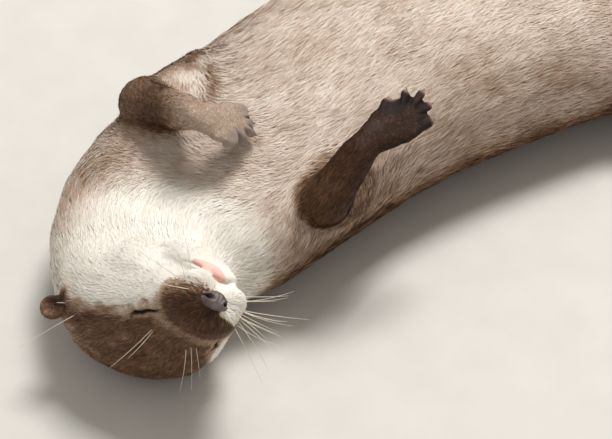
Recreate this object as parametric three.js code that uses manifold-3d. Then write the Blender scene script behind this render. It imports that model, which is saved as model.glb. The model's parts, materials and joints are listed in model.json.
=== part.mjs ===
// A small-clawed otter asleep on its back, as a still, life-size model.
// Millimetres. +X runs from the otter's shoulders towards its tail, +Y to its own left, and its
// belly faces +Z. The origin is under the middle of the model, at the level it lies on.
//
// Each piece of flesh is a loft: oval sections carried along a curve. Where two pieces meet, a
// flat cut or the grown shape of the neighbour parts them and leaves a narrow gap.

import * as THREE from 'three';
import { LoftGeometry } from 'three/addons/geometries/LoftGeometry.js';
import { mergeVertices } from 'three/addons/utils/BufferGeometryUtils.js';
import Module from 'manifold-3d';

const wasm = await Module();
wasm.setup();

// ---------------------------------------------------------------- driving sizes

const GAP = 0.35; // left between neighbouring pieces
const SECTION_POWER = 2.15; // 2 is an ellipse, more is squarer

// Stations of a loft: where its axis runs, half width, height to the belly, depth to the back.
const BODY = [
  { at: [6, -11, 31], side: 33, belly: 25, back: 31 },
  { at: [18, -5, 34], side: 42, belly: 29, back: 34.6 },
  { at: [40, 3, 38], side: 52, belly: 32, back: 39 },
  { at: [68, 5, 40], side: 60, belly: 34, back: 42 },
  { at: [100, 3, 42], side: 61, belly: 38, back: 44.5 },
  { at: [135, 0, 43], side: 62, belly: 44, back: 46 },
  { at: [175, -5, 44], side: 63.5, belly: 48, back: 47 },
  { at: [218, -15, 44], side: 66, belly: 49, back: 47 },
  { at: [262, -33, 43], side: 65, belly: 45, back: 46 },
  { at: [303, -56, 40], side: 58, belly: 38, back: 43 },
  { at: [341, -82, 35], side: 44, belly: 29, back: 37 },
  { at: [366, -100, 28], side: 31, belly: 22, back: 29.5 },
];
const NECK_ENDS = 2.6; // where along the stations the neck meets the chest
const CHEST_ENDS = 5.5;
const BELLY_ENDS = 8;

const TAIL = [
  { at: [352, -90, 28], side: 33, belly: 20, back: 29.5 },
  { at: [392, -117, 20], side: 24, belly: 15, back: 21 },
  { at: [430, -136, 16], side: 18, belly: 12, back: 17 },
  { at: [478, -148, 13.5], side: 14.5, belly: 10, back: 14.2 },
  { at: [530, -150, 11], side: 11.5, belly: 8, back: 11.6 },
  { at: [580, -143, 8.5], side: 8.5, belly: 6, back: 9 },
  { at: [622, -130, 5.5], side: 5, belly: 4, back: 5.8 },
];
const TAIL_BASE_ENDS = 2;
const TAIL_MIDDLE_ENDS = 4;

// The head has a frame of its own: x towards the nose, y to the left, z towards the crown, from
// the middle of the nose pad. It is turned so that the nose points up and to the otter's right.
const NOSE_AT = new THREE.Vector3(1.2, -71.9, 79);
const HEAD_FORWARD = new THREE.Vector3(-0.09, -0.752, 0.653);
const HEAD_CROWN = new THREE.Vector3(-0.853, -0.28, -0.44);

// Skull by distance behind the nose pad. Belly is the depth to the throat, back is the crown.
const SKULL = [
  { at: [-90, 0, 0], side: 33, belly: 17, back: 27 },
  { at: [-77, 0, 0], side: 38, belly: 22, back: 29.5 },
  { at: [-63, 0, 0], side: 37.5, belly: 24.5, back: 29 },
  { at: [-50, 0, 0], side: 34.5, belly: 23.5, back: 26.5 },
  { at: [-39, 0, 0], side: 28.5, belly: 20, back: 22 },
  { at: [-29, 0, 0], side: 23.6, belly: 16, back: 17.8 },
  { at: [-20, 0, 0], side: 21, belly: 12, back: 14 },
  { at: [-11, 0, 0], side: 16.6, belly: 9, back: 11.5 },
  { at: [-4, 0, -0.5], side: 12, belly: 6.5, back: 8 },
];
const JAW = [
  { at: [-42, 0, -18], side: 19, belly: 11, back: 8 },
  { at: [-29, 0, -16.5], side: 15.5, belly: 9, back: 7.5 },
  { at: [-17, 0, -14.5], side: 11.5, belly: 6, back: 6 },
  { at: [-10, 0, -13.2], side: 8.5, belly: 4, back: 4.5 },
];
const WHISKER_PAD = { at: [-10, 7.8, -5], radii: [9.5, 8.3, 7] };
const CHEEK = { at: [-49, 17, -7], radii: [20, 15.5, 15] };
const EYE = { at: [-28.8, 15.2, 7.6], radii: [6.2, 6.2, 6.2] };
const NOSE_PAD = { at: [-2, 0.6, 0.1], radii: [5, 6.4, 4.9] };
const NOSTRIL = { at: [2.2, 3.9, -1.2], radii: [2.4, 1.9, 1.3] };
const EAR = { width: 12.5, height: 12.5, thickness: 4.2, rim: 1.9 };
const EAR_LEFT = { at: [-76.5, 37, 16.5], turn: 0.55 };
const EAR_RIGHT = { at: [-76, -35, 11], turn: -0.3 }; // pressed flat between head and floor

// Limbs by joint. Along is the way the paw points, back the way the back of it faces.
const FORELEGS = {
  left: {
    joints: [[109, 43, 50], [74, 42, 73], [59.2, -4.5, 103.8]],
    along: [0.73, -0.4, -0.56],
    back: [0.2, -0.7, 0.69],
    curl: 0.5,
    splay: [0.24, 0.08, -0.04, -0.14, -0.24],
  },
  right: {
    joints: [[114, -38, 48], [87, -55, 62], [106, -61.4, 87.6]],
    along: [0.91, -0.27, 0.24],
    back: [-0.36, -0.46, 0.81],
    curl: 0.25,
    splay: [0.5, 0.6, 0.38, 0.18, 0],
  },
};
const FORELEG_SIZES = { top: 22, upper: 15.5, elbow: 11.5, forearm: 10, wrist: 7.8 };
const FOREPAW = {
  palm: 22,
  halfWidth: 10,
  thickness: 6,
  finger: 2.7,
  digits: [6.5, 9.5, 14, 14, 11.5],
  web: 1.5,
};
const HIND_LEGS = {
  left: {
    joints: [[312, -24, 40], [332, 14, 60], [384, -22, 22]],
    along: [0.6, 0.3, 0.74],
    back: [-0.62, 0.72, 0.3],
    curl: 0.3,
    splay: [0.42, 0.2, 0.03, -0.16, -0.36],
  },
  right: {
    joints: [[288, -86, 40], [286, -130, 58], [344, -152, 22]],
    along: [0.62, -0.52, 0.58],
    back: [-0.5, -0.83, -0.22],
    curl: 0.3,
    splay: [0.42, 0.2, 0.03, -0.16, -0.36],
  },
};
const HIND_LEG_SIZES = { top: 36, upper: 27, elbow: 18, forearm: 13.5, wrist: 9 };
const HIND_FOOT = {
  palm: 42,
  halfWidth: 11.5,
  thickness: 6,
  finger: 3,
  digits: [16, 22, 25, 24, 19],
  web: 13,
};

const FUR_BROWN = 0x5d4637;
const FUR_LIMB = 0x54402f;
const FUR_CREAM = 0xd8c9b4;
const FUR_TAN = 0xb9a18a;
const SKIN_GREY = 0x6a5d56;
const NOSE_GREY = 0x4b4246;
const EYE_DARK = 0x2a1d18;

// ---------------------------------------------------------------- lofts

const UP = new THREE.Vector3(0, 0, 1);
const THROATWARDS = new THREE.Vector3(0, 0, -1);
const vector = (list) => new THREE.Vector3(...list);

function splines(stations) {
  const places = new THREE.CatmullRomCurve3(stations.map((s) => vector(s.at)));
  const sizes = new THREE.CatmullRomCurve3(
    stations.map((s) => new THREE.Vector3(s.side, s.belly, s.back)),
  );
  return { places, sizes };
}

// One oval, with its own height on the belly's side and on the back's.
function ovalSection(centre, lateral, bellywards, size, columns) {
  const points = [];
  for (let j = 0; j < columns; j++) {
    const c = Math.cos((j / columns) * 2 * Math.PI);
    const s = Math.sin((j / columns) * 2 * Math.PI);
    const across = size.x * Math.sign(c) * Math.abs(c) ** (2 / SECTION_POWER);
    const tall = (s > 0 ? size.y : size.z) * Math.sign(s) * Math.abs(s) ** (2 / SECTION_POWER);
    points.push(centre.clone().addScaledVector(lateral, across).addScaledVector(bellywards, tall));
  }
  return points;
}

// A closed loft with rounded ends. Towards is the belly's side of it; grow widens it all round.
function loft(stations, { columns, rings, capRings = 2, towards = UP, caps = [1, 1], grow = 0 }) {
  const { places, sizes } = splines(stations);
  const sections = [];
  const addSection = (t, along, scale) => {
    const tangent = places.getTangent(t);
    const lateral = new THREE.Vector3().crossVectors(towards, tangent).normalize();
    const bellywards = new THREE.Vector3().crossVectors(tangent, lateral).normalize();
    const size = sizes.getPoint(t).addScalar(grow).multiplyScalar(scale);
    const centre = places.getPoint(t).addScaledVector(tangent, along);
    sections.push(ovalSection(centre, lateral, bellywards, size, columns));
  };
  const addCap = (t, way, cap, k) => {
    const size = sizes.getPoint(t);
    const reach = cap * Math.min(size.x, (size.y + size.z) / 2) + grow;
    const angle = (k / (capRings + 0.3)) * (Math.PI / 2);
    addSection(t, way * reach * Math.sin(angle), Math.cos(angle));
  };
  for (let k = capRings; k > 0; k--) addCap(0, -1, caps[0], k);
  for (let i = 0; i <= rings; i++) addSection(i / rings, 0, 1);
  for (let k = 1; k <= capRings; k++) addCap(1, 1, caps[1], k);
  return new LoftGeometry(sections, { capStart: true, capEnd: true });
}

function ellipsoid({ at, radii }, grow = 0, detail = 11) {
  const ball = new THREE.SphereGeometry(1, detail, Math.round(detail * 0.7));
  ball.scale(radii[0] + grow, radii[1] + grow, radii[2] + grow);
  return ball.translate(...at);
}

// ---------------------------------------------------------------- solids

// A closed geometry as a solid, its faces turned outwards.
function solid(geometry) {
  const bare = new THREE.BufferGeometry().setAttribute('position', geometry.attributes.position);
  if (geometry.index) bare.setIndex(geometry.index);
  const merged = mergeVertices(bare, 1e-4);
  const corners = merged.index.array;
  const make = (order) => {
    const faces = [];
    for (let i = 0; i < corners.length; i += 3) {
      const face = order.map((k) => corners[i + k]);
      if (new Set(face).size === 3) faces.push(...face);
    }
    return new wasm.Manifold(
      new wasm.Mesh({
        numProp: 3,
        vertProperties: merged.attributes.position.array,
        triVerts: new Uint32Array(faces),
      }),
    );
  };
  const made = make([0, 1, 2]);
  return made.volume() > 0 ? made : make([0, 2, 1]);
}

const join = (solids) => solids.reduce((a, b) => a.add(b));
const cutBy = (body, cutters) => cutters.reduce((a, b) => a.subtract(b), body);
const largest = (body) => body.decompose().sort((a, b) => b.volume() - a.volume())[0];

// The space on one side of a flat cut: ahead of it along the normal, or behind it.
function halfSpace(point, normal, ahead) {
  const deep = 600;
  const block = new THREE.BoxGeometry(deep, deep, deep);
  block.translate(0, 0, (ahead ? 1 : -1) * ((deep + GAP) / 2));
  const turn = new THREE.Quaternion().setFromUnitVectors(UP, normal.clone().normalize());
  return solid(block.applyQuaternion(turn).translate(...point.toArray()));
}

// One length of a spine, between two places counted in stations.
function lengthOf(body, stations, from, to) {
  const { places } = splines(stations);
  const cutAt = (place, ahead) => {
    const t = place / (stations.length - 1);
    return halfSpace(places.getPoint(t), places.getTangent(t).setZ(0), ahead);
  };
  const kept = from === null ? body : body.intersect(cutAt(from, true));
  return to === null ? kept : kept.intersect(cutAt(to, false));
}

const floorBlock = solid(new THREE.BoxGeometry(2000, 2000, 200).translate(300, 0, -100));

function finish(color, roughness = 0.9) {
  return new THREE.MeshStandardMaterial({ color, roughness, metalness: 0 });
}

// Stands a solid in a group, cut off level at the floor.
function addPart(group, name, body, color, roughness) {
  const { vertProperties, triVerts, numProp } = largest(body.subtract(floorBlock)).getMesh();
  const positions = new Float32Array((vertProperties.length / numProp) * 3);
  for (let i = 0; i < positions.length / 3; i++) {
    positions.set(vertProperties.subarray(i * numProp, i * numProp + 3), i * 3);
  }
  const geometry = new THREE.BufferGeometry();
  geometry.setAttribute('position', new THREE.BufferAttribute(positions, 3));
  geometry.setIndex(new THREE.BufferAttribute(new Uint32Array(triVerts), 1));
  geometry.computeVertexNormals();
  const mesh = new THREE.Mesh(geometry, finish(color, roughness));
  mesh.name = name;
  group.add(mesh);
}

const root = new THREE.Group();
const headGroup = new THREE.Group();
const trunkGroup = new THREE.Group();
const limbGroup = new THREE.Group();
root.add(headGroup, trunkGroup, limbGroup);

// ---------------------------------------------------------------- head

const headLeft = new THREE.Vector3().crossVectors(HEAD_CROWN, HEAD_FORWARD).normalize();
const headForward = HEAD_FORWARD.clone().normalize();
const headCrown = new THREE.Vector3().crossVectors(headForward, headLeft).normalize();
const headPose = new THREE.Matrix4().makeBasis(headForward, headLeft, headCrown);
headPose.setPosition(NOSE_AT);

const inHead = (geometry) => solid(geometry.applyMatrix4(headPose));
const mirrored = ({ at, radii }) => ({ at: [at[0], -at[1], at[2]], radii });

function skullSolid(grow) {
  const shell = loft(SKULL, { columns: 18, rings: 10, towards: THROATWARDS, caps: [0.55, 0.5], grow });
  const pads = [WHISKER_PAD, mirrored(WHISKER_PAD), CHEEK, mirrored(CHEEK)];
  return join([inHead(shell), ...pads.map((pad) => inHead(ellipsoid(pad, grow, 8)))]);
}

function jawSolid(grow) {
  return inHead(
    loft(JAW, { columns: 12, rings: 5, towards: THROATWARDS, caps: [0.4, 0.9], grow }),
  );
}

// An ear is a small thick dish that stands out from the side of the head.
function earSolid({ at, turn }, grow) {
  const half = [EAR.thickness / 2, EAR.height / 2, EAR.width / 2];
  const dish = { at: [0, 0, 0], radii: half };
  const rimmed = [half[0], half[1] - EAR.rim, half[2] - EAR.rim];
  const bowl = { at: [half[0], Math.sign(turn) * 0.8, 0], radii: rimmed };
  const [outside, hollow] = [ellipsoid(dish, grow, 10), ellipsoid(bowl, 0, 8)].map((geometry) =>
    inHead(geometry.rotateZ(turn).translate(...at)),
  );
  return grow > 0 ? outside : outside.subtract(hollow);
}

const skullRoom = skullSolid(GAP);
const jawRoom = jawSolid(GAP);
const noseRoom = inHead(ellipsoid(NOSE_PAD, GAP));
const eyes = { left: EYE, right: mirrored(EYE) };
const eyeRooms = Object.values(eyes).map((eye) => inHead(ellipsoid(eye, GAP)));
const nostrils = [NOSTRIL, mirrored(NOSTRIL)].map((hole) => inHead(ellipsoid(hole, 0, 6)));

addPart(headGroup, 'head', cutBy(skullSolid(0), [noseRoom, jawRoom, ...eyeRooms]), FUR_BROWN);
addPart(headGroup, 'lower_jaw', cutBy(jawSolid(0), [noseRoom]), FUR_CREAM);
addPart(headGroup, 'nose', cutBy(inHead(ellipsoid(NOSE_PAD)), nostrils), NOSE_GREY, 0.45);
for (const [side, eye] of Object.entries(eyes)) {
  addPart(headGroup, 'eye_' + side, inHead(ellipsoid(eye)), EYE_DARK, 0.15);
}
for (const [side, ear] of Object.entries({ left: EAR_LEFT, right: EAR_RIGHT })) {
  addPart(headGroup, 'ear_' + side, cutBy(earSolid(ear, 0), [skullRoom]), FUR_BROWN);
}

// ---------------------------------------------------------------- neck, trunk and tail

const bodyShape = { columns: 22, rings: 16, caps: [0.3, 0.5] };
const tailShape = { columns: 12, rings: 9, caps: [0.3, 1] };
const body = solid(loft(BODY, bodyShape));
const bodyRoom = solid(loft(BODY, { ...bodyShape, grow: GAP }));
const tail = cutBy(solid(loft(TAIL, tailShape)), [bodyRoom]);
const tailRoom = solid(loft(TAIL, { ...tailShape, grow: GAP }));

const earRooms = [earSolid(EAR_LEFT, GAP), earSolid(EAR_RIGHT, GAP)];
const neckLength = lengthOf(body, BODY, null, NECK_ENDS);
const neck = cutBy(neckLength, [skullRoom, jawRoom, ...earRooms]);
addPart(headGroup, 'neck', neck, FUR_CREAM);
addPart(trunkGroup, 'chest', lengthOf(body, BODY, NECK_ENDS, CHEST_ENDS), FUR_TAN);
addPart(trunkGroup, 'belly', lengthOf(body, BODY, CHEST_ENDS, BELLY_ENDS), FUR_TAN);
addPart(trunkGroup, 'hips', lengthOf(body, BODY, BELLY_ENDS, null), FUR_TAN);
addPart(trunkGroup, 'tail_base', lengthOf(tail, TAIL, null, TAIL_BASE_ENDS), FUR_LIMB);
const tailMiddle = lengthOf(tail, TAIL, TAIL_BASE_ENDS, TAIL_MIDDLE_ENDS);
addPart(trunkGroup, 'tail_middle', tailMiddle, FUR_LIMB);
addPart(trunkGroup, 'tail_tip', lengthOf(tail, TAIL, TAIL_MIDDLE_ENDS, null), FUR_LIMB);

// ---------------------------------------------------------------- limbs

const round = (at, radius) => ({ at: at.toArray(), side: radius, belly: radius, back: radius });

// A paw: a flat palm, five digits that curl away from the back of it, and a web between them.
function pawSolid(joint, leg, sizes, neckRadius, isLeft) {
  const along = vector(leg.along).normalize();
  const thumbwards = new THREE.Vector3().crossVectors(along, vector(leg.back)).normalize();
  const back = new THREE.Vector3().crossVectors(thumbwards, along);
  if (!isLeft) thumbwards.negate();
  const place = (a, t, b) =>
    joint
      .clone()
      .addScaledVector(along, a)
      .addScaledVector(thumbwards, t)
      .addScaledVector(back, b);
  const { palm, halfWidth, thickness, finger, digits, web } = sizes;
  const flat = (at, side, tall) => ({ at: at.toArray(), side, belly: tall, back: tall });
  const palmStations = [
    round(place(-neckRadius, 0, 0), neckRadius * 0.96),
    flat(place(palm * 0.45, 0, 0), halfWidth * 0.9, thickness * 0.62),
    flat(place(palm, 0, 0), halfWidth, thickness * 0.5),
    flat(place(palm + web, 0, -0.4), halfWidth * 1.02, finger * 0.5),
  ];
  const pieces = [solid(loft(palmStations, { columns: 9, rings: 3, towards: back }))];
  digits.forEach((length, i) => {
    const across = (halfWidth - finger) * (1 - i / 2);
    const start = palm - Math.abs(i - 2) * 1.2 - (i === 0 ? palm * 0.26 : 0);
    const ahead = length * Math.cos(leg.splay[i]);
    const aside = length * Math.sin(leg.splay[i]);
    const stations = [
      round(place(start - 4, across, 0), finger),
      round(place(start, across, 0.5), finger * 1.05),
      round(
        place(start + ahead * 0.5, across + aside * 0.5, 0.5 - leg.curl * length * 0.12),
        finger * 0.9,
      ),
      round(
        place(start + ahead * (1 - leg.curl * 0.22), across + aside, -leg.curl * length * 0.6),
        finger * 1.02,
      ),
    ];
    const digitShape = { columns: 6, rings: 3, capRings: 1, towards: back, caps: [0.5, 1.1] };
    pieces.push(solid(loft(stations, digitShape)));
  });
  return join(pieces);
}

// A leg in three pieces, parted by flat cuts through its two lower joints.
function legSolids(leg, sizes, pawSizes, isLeft) {
  const [hip, knee, ankle] = leg.joints.map(vector);
  const upperWay = knee.clone().sub(hip).normalize();
  const lowerWay = ankle.clone().sub(knee).normalize();
  const pawWay = vector(leg.along).normalize();
  const kneeCut = upperWay.clone().add(lowerWay);
  const ankleCut = lowerWay.clone().add(pawWay);
  const segment = (stations) =>
    solid(loft(stations, { columns: 11, rings: 3, towards: vector(leg.back) }));
  const upper = segment([
    round(hip, sizes.top),
    round(hip.clone().lerp(knee, 0.55), sizes.upper),
    round(knee, sizes.elbow),
  ]);
  const lower = segment([
    round(knee, sizes.elbow),
    round(knee.clone().lerp(ankle, 0.35), sizes.forearm),
    round(knee.clone().lerp(ankle, 0.75), (sizes.forearm + sizes.wrist) / 2),
    round(ankle, sizes.wrist),
  ]);
  const paw = pawSolid(ankle, leg, pawSizes, sizes.wrist, isLeft);
  return [
    upper.intersect(halfSpace(knee, kneeCut, false)),
    lower.intersect(halfSpace(knee, kneeCut, true)).intersect(halfSpace(ankle, ankleCut, false)),
    paw.intersect(halfSpace(ankle, ankleCut, true)),
  ];
}

function addLeg(names, leg, sizes, pawSizes, side) {
  const pieces = legSolids(leg, sizes, pawSizes, side === 'left');
  const colours = [FUR_TAN, FUR_LIMB, SKIN_GREY];
  pieces.forEach((piece, i) => {
    addPart(limbGroup, names[i] + '_' + side, cutBy(piece, [bodyRoom, tailRoom]), colours[i]);
  });
}

for (const side of ['left', 'right']) {
  const foreNames = ['upper_arm', 'forearm', 'forepaw'];
  const hindNames = ['thigh', 'shank', 'hind_foot'];
  addLeg(foreNames, FORELEGS[side], FORELEG_SIZES, FOREPAW, side);
  addLeg(hindNames, HIND_LEGS[side], HIND_LEG_SIZES, HIND_FOOT, side);
}

// The origin goes under the middle of the model.
const middle = new THREE.Box3().setFromObject(root).getCenter(new THREE.Vector3());
for (const group of root.children) group.position.set(-middle.x, -middle.y, 0);

export default root;
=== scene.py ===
# %% [markdown]
# # A small-clawed otter asleep on its back
# This lesson dresses a plain solid model of an otter as a museum model: one skin over all of its
# flesh, a coat of fur over the skin, then nose, eyes, claws and whiskers. Everything is in metres,
# +X runs towards the tail, +Y to the otter's left, and +Z up, out of its belly.

import json
import math
import time
from contextlib import contextmanager

import bmesh
import bpy
import numpy as np
import openvdb as vdb
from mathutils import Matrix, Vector
from mathutils.bvhtree import BVHTree

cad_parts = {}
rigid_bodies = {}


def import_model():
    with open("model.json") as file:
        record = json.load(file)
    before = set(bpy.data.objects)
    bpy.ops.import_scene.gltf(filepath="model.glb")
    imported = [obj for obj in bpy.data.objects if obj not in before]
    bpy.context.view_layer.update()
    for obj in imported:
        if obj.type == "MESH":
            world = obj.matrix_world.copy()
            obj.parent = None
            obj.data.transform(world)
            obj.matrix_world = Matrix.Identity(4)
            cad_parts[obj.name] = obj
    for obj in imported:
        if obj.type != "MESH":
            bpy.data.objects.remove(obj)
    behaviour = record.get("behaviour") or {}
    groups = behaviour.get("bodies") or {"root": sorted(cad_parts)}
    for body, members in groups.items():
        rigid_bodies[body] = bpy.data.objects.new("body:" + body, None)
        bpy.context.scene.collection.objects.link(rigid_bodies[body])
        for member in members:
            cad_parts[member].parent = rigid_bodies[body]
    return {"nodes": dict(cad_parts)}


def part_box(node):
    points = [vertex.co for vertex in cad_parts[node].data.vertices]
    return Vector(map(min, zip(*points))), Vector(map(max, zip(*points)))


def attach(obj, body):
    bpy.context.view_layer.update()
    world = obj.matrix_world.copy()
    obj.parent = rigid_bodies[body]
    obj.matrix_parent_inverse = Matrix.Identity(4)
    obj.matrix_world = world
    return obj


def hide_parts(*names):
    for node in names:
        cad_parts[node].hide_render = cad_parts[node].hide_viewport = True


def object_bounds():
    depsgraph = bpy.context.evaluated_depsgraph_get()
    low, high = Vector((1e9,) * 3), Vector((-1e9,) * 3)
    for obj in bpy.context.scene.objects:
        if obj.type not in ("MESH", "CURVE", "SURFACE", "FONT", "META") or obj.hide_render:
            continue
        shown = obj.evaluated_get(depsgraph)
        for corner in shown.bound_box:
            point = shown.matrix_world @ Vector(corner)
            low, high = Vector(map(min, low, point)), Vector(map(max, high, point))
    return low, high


for leftover in list(bpy.data.objects):
    bpy.data.objects.remove(leftover)
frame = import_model()
solid_bounds = [list(map(float, corner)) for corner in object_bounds()]
started = time.time()
MM = 0.001
print("solids:", len(frame["nodes"]), "size in mm:",
      [round((b - a) / MM) for a, b in zip(*solid_bounds)])

# %% [markdown]
# ## Where the head points
# The head is turned away from the body, so its details need a frame of their own. Three solids
# fix it: both eyes give the direction to the left, and the nose gives the direction forward. The
# line from between the eyes to the nose dips below the skull's own axis, so it is raised again.
# The frame starts just ahead of the middle of the nose pad.

# %% Find the head's own frame
def middle_of(node):
    low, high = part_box(node)
    return np.array((low + high) / 2)


def size_of(v):
    return np.linalg.norm(v, axis=-1)


def unit(v):
    v = np.asarray(v, float)
    return v / np.maximum(size_of(v), 1e-12)[..., None]


NOSE_DIP = math.radians(15.6)
NOSE_MIDDLE = np.array([-0.5, 0.6, -0.3])
head_left = unit(middle_of("eye_left") - middle_of("eye_right"))
to_nose = middle_of("nose") - (middle_of("eye_left") + middle_of("eye_right")) / 2
to_nose = unit(to_nose - head_left * (to_nose @ head_left))
to_crown = np.cross(to_nose, head_left)
head_forward = to_nose * math.cos(NOSE_DIP) + to_crown * math.sin(NOSE_DIP)
head_crown = np.cross(head_forward, head_left)
head_axes = np.array([head_forward, head_left, head_crown])
nose_at = middle_of("nose") - NOSE_MIDDLE * MM @ head_axes


def to_head(points):
    """Points in the head's frame, in mm: x forward of the nose, y left, z towards the crown."""
    return (np.asarray(points) - nose_at) @ head_axes.T / MM


def from_head(points):
    return nose_at + np.asarray(points, float) * MM @ head_axes


print("forward", head_forward.round(3), "crown", head_crown.round(3))

# %% [markdown]
# ## Camera and studio
# The camera stands above the otter's head, to its left and ahead of it, and looks down along the
# body. It is a metre away with a long lens. The floor is pale and plain, one big lamp behind
# the otter gives soft modelling, and the world fills the shadows.

# %% Place the camera
def add_object(name, data):
    made = bpy.data.objects.new(name, data)
    bpy.context.scene.collection.objects.link(made)
    return made


VIEW_AZIMUTH, VIEW_ELEVATION = math.radians(-49), math.radians(45)
VIEW_DISTANCE = 1.0
VIEW_RIGHT_OF_NOSE, VIEW_ABOVE_NOSE = 36.4 * MM, 34.9 * MM
backward = np.array([
    math.sin(VIEW_AZIMUTH) * math.cos(VIEW_ELEVATION),
    -math.cos(VIEW_AZIMUTH) * math.cos(VIEW_ELEVATION),
    math.sin(VIEW_ELEVATION),
])
view_right = unit(np.cross([0, 0, 1], backward))
view_up = np.cross(backward, view_right)
lens = bpy.data.cameras.new("camera")
lens.lens = 142.4
lens.clip_start = 0.05
camera = add_object("camera", lens)
camera.location = (nose_at + view_right * VIEW_RIGHT_OF_NOSE + view_up * VIEW_ABOVE_NOSE
                   + backward * VIEW_DISTANCE)
camera.rotation_euler = Vector(backward).to_track_quat("Z", "Y").to_euler()
bpy.context.scene.camera = camera
print("camera height in mm:", round(camera.location.z / MM))

# %% [markdown]
# ## One skin for all the flesh
# The solids of a body are cut from one another, but an animal has one skin. Each solid is read as a
# field of signed distances on a grid: below zero inside, above zero outside. Fields are easy to
# join with soft fillets, to smooth, and to shrink by the depth of the coat. Then one mesh is
# drawn where the joined field is zero.

# %% Read a solid as a field of distances
VOXEL = 0.8 * MM
BAND = 13
FAR = BAND * VOXEL
GRID_MARGIN = 4
grid_from = np.floor(np.array(solid_bounds[0]) / VOXEL).astype(int) - GRID_MARGIN
grid_size = np.ceil(np.array(solid_bounds[1]) / VOXEL).astype(int) + GRID_MARGIN - grid_from
grid_scale = vdb.createLinearTransform(voxelSize=VOXEL)


def read(items, name, width, kind=np.float32):
    """One property of every item of a mesh, as rows of that width."""
    values = np.empty(len(items) * width, kind)
    items.foreach_get(name, values)
    return values.reshape(-1, width)


def mesh_arrays(mesh):
    """A mesh's points and triangles as arrays."""
    mesh.calc_loop_triangles()
    corners = read(mesh.loop_triangles, "vertices", 3, np.int32)
    return read(mesh.vertices, "co", 3), corners.astype(np.uint32)


def window_of(nodes):
    """The part of the grid that a few nodes can reach, as slices."""
    corners = [np.array(c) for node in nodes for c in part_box(node)]
    start = np.floor(np.min(corners, 0) / VOXEL).astype(int) - BAND - grid_from
    stop = np.ceil(np.max(corners, 0) / VOXEL).astype(int) + BAND - grid_from
    start, stop = np.maximum(start, 0), np.minimum(stop, grid_size)
    return tuple(slice(int(a), int(b)) for a, b in zip(start, stop))


def distances(points, window, **faces):
    """Signed distances to a closed mesh in that window of the grid, in metres."""
    level_set = vdb.FloatGrid.createLevelSetFromPolygons(
        points, transform=grid_scale, halfWidth=BAND, **faces)
    field = np.empty([s.stop - s.start for s in window], np.float32)
    level_set.copyToArray(field, ijk=tuple(int(s.start + g) for s, g in zip(window, grid_from)))
    return field


def distances_to(nodes, window):
    """Signed distances to the nearest of a few nodes."""
    fields = []
    for node in nodes:
        points, corners = mesh_arrays(frame["nodes"][node].data)
        fields.append(distances(points, window, triangles=corners))
    return np.minimum.reduce(fields)


def drawn(field):
    """The surface where a field of the whole grid is zero, as points and quads."""
    grid = vdb.FloatGrid()
    grid.background = FAR
    grid.transform = grid_scale
    grid.copyFromArray(field, ijk=tuple(int(g) for g in grid_from))
    return grid.convertToQuads(isovalue=0)


print("grid:", grid_size, "voxels of", VOXEL / MM, "mm")

# %% [markdown]
# Three operations are enough: a blur that melts the facets, a soft union that leaves a fillet, and
# a stronger blur where a paw meets its limb, so that the wrist has no cuff. A second field says how
# deep the coat is at each place. Fur that lies flat is about 2.5 mm deep on the trunk, under a
# millimetre on the muzzle, and missing on the soles.

# %% Join the flesh, part by part
CUT = 0.25 * MM


def softly_joined(a, b, reach):
    """Two fields as one, with a fillet where they are within reach of each other."""
    near = np.maximum(reach - np.abs(a - b), 0)
    return np.minimum(a, b) - near * near / (4 * reach)


def smoothed(field, steps):
    """The field blurred by a small kernel whose reach doubles at each step."""
    for step in range(steps):
        far = 2 ** step
        for axis in range(3):
            line = np.moveaxis(field, axis, 0)
            line[far:-far] = line[far:-far] / 2 + (line[2 * far:] + line[:-2 * far]) / 4
    return field


def ahead_in(window):
    """How far ahead each voxel of a window lies along the head, in mm from the nose."""
    axes = [(np.arange(s.start, s.stop) + g) * VOXEL for s, g in zip(window, grid_from)]
    x, y, z = np.meshgrid(*axes, indexing="ij", sparse=True)
    offset = ((x - nose_at[0]) * head_forward[0] + (y - nose_at[1]) * head_forward[1]
              + (z - nose_at[2]) * head_forward[2])
    return offset.astype(np.float32) / MM


def coat_on_head(window):
    return np.interp(ahead_in(window), *HEAD_COAT)


TRUNK_COAT = 2.3
HEAD_COAT = [-88, -62, -38, -20, -8], [2.7, 2.0, 1.3, 0.9, 0.7]
BROWN_EDGE = 5 * MM
SEAM_REACH, SEAM_BLUR = 7 * MM, 3
SIDES = ("left", "right")
TRUNK, TAIL, ARMS, LEGS, HEAD = range(5)
LIMBS = {
    "upper_arm_": (2.3, 9, 1, ARMS, 0.35), "thigh_": (2.5, 9, 1, LEGS, 0.5),
    "forearm_": (1.2, 5, 1, ARMS, 1), "shank_": (1.4, 5, 1, LEGS, 1),
    "forepaw_": (0.3, 0.6, 0, ARMS, 1), "hind_foot_": (0.4, 1, 0, LEGS, 1),
}
LIMB_OF_PAW = {"forepaw_": "forearm_", "hind_foot_": "shank_"}
whole = tuple(slice(0, int(n)) for n in grid_size)
flesh = np.full(grid_size, FAR, np.float32)
coat = np.full(grid_size, TRUNK_COAT * MM, np.float32)
browning = np.zeros(grid_size, np.float32)
region = np.zeros(grid_size, np.uint8)


def add_flesh(nodes, coat_depth, fillet, steps, where, brown):
    """Joins nodes to the flesh. Coat depth and fillet are in mm, brown says how dark they are."""
    window = window_of(nodes)
    part = smoothed(distances_to(nodes, window) - CUT, steps)
    if callable(coat_depth):
        coat_depth = coat_depth(window)
    region[window][part < flesh[window]] = where
    flesh[window] = softly_joined(flesh[window], part, fillet * MM)
    coat[window] += (coat_depth * MM - coat[window]) * (1 - np.clip(part / FAR, 0, 1))
    browning[window] += (brown - browning[window]) * (1 - np.clip(part / BROWN_EDGE, 0, 1))


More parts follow.
